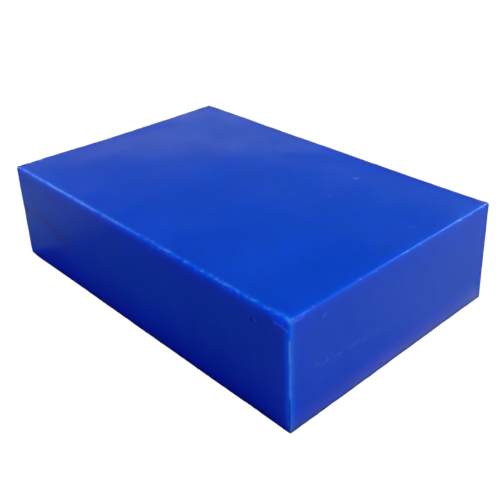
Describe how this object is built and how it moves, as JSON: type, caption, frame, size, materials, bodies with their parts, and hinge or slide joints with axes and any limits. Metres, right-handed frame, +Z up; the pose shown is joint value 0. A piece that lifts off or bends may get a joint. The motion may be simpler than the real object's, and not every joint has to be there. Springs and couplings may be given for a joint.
{
  "type": "clay bar",
  "caption": "Solid rectangular bar of soft blue detailing clay with flat faces and nearly sharp, hand-cut edges.",
  "frame": {"origin": "middle of the bottom face, on the surface that the bar rests on", "axes": "+X along the bar's length, +Y across its width, +Z up through its thickness"},
  "size_m": [0.096, 0.064, 0.025],
  "materials": {
    "blue_clay": "satin"
  },
  "bodies": {
    "root": {"clay_block": "blue_clay"}
  },
  "joints": []
}
